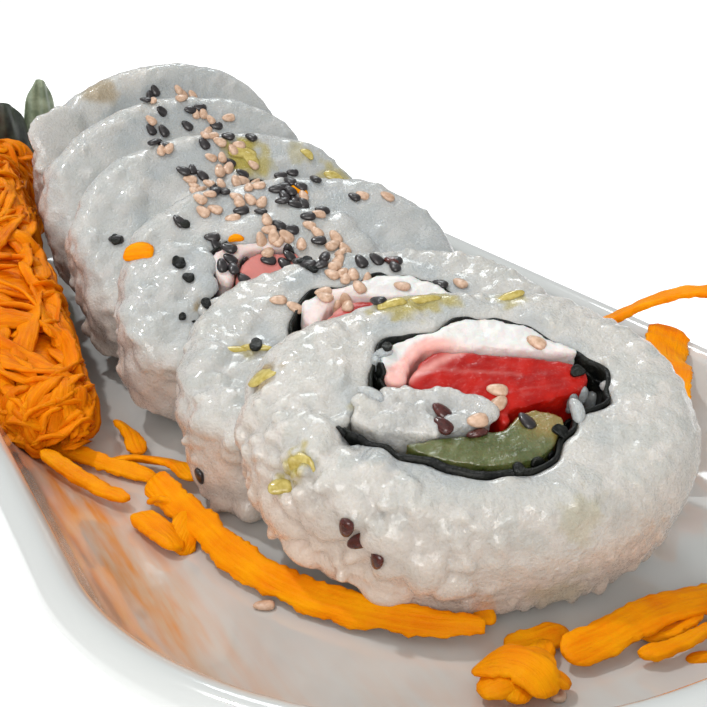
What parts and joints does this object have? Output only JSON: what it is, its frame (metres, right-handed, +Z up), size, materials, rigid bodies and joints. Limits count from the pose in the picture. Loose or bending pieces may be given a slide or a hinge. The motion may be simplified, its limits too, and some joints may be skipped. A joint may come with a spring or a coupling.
{
  "type": "plate of fruit maki roll slices",
  "caption": "Shingled row of filled maki roll slices on a long white dish with shredded carrot and sesame.",
  "frame": {"origin": "centre of the dish's flat foot, on the table", "axes": "+Z up, +Y along the dish's length from the front slice to the last one, +X to its right"},
  "size_m": [0.1306, 0.2556, 0.06],
  "materials": {
    "porcelain": "glossy white glaze, faintly celadon",
    "rice": "cooked rice, moist and slightly translucent",
    "nori": "moist seaweed sheet, green-black",
    "cream": "cream cheese, satin",
    "red": "moist red strip with pale streaks",
    "green": "olive-green translucent slice",
    "carrot": "moist shredded carrot",
    "leaf": "dark garnish leaf",
    "pale_leaf": "pale green garnish leaf"
  },
  "bodies": {
    "root": {"dish": "porcelain", "rice_1": "rice", "nori_1": "nori", "cream_1": "cream", "red_1": "red", "green_1": "green", "tongue_1": "rice", "rice_2": "rice", "nori_2": "nori", "cream_2": "cream", "red_2": "red", "green_2": "green", "tongue_2": "rice", "rice_3": "rice", "nori_3": "nori", "cream_3": "cream", "red_3": "red", "green_3": "green", "tongue_3": "rice", "rice_4": "rice", "nori_4": "nori", "cream_4": "cream", "red_4": "red", "green_4": "green", "tongue_4": "rice", "rice_5": "rice", "nori_5": "nori", "cream_5": "cream", "red_5": "red", "green_5": "green", "tongue_5": "rice", "rice_6": "rice", "nori_6": "nori", "cream_6": "cream", "red_6": "red", "green_6": "green", "tongue_6": "rice", "strip_long": "carrot", "strip_left": "carrot", "strip_short": "carrot", "strip_wide": "carrot", "strip_thin": "carrot", "strip_far": "carrot", "strip_fold": "carrot", "clump": "carrot", "carrot_heap": "carrot", "leaf_dark": "leaf", "leaf_pale": "pale_leaf"}
  },
  "joints": []
}
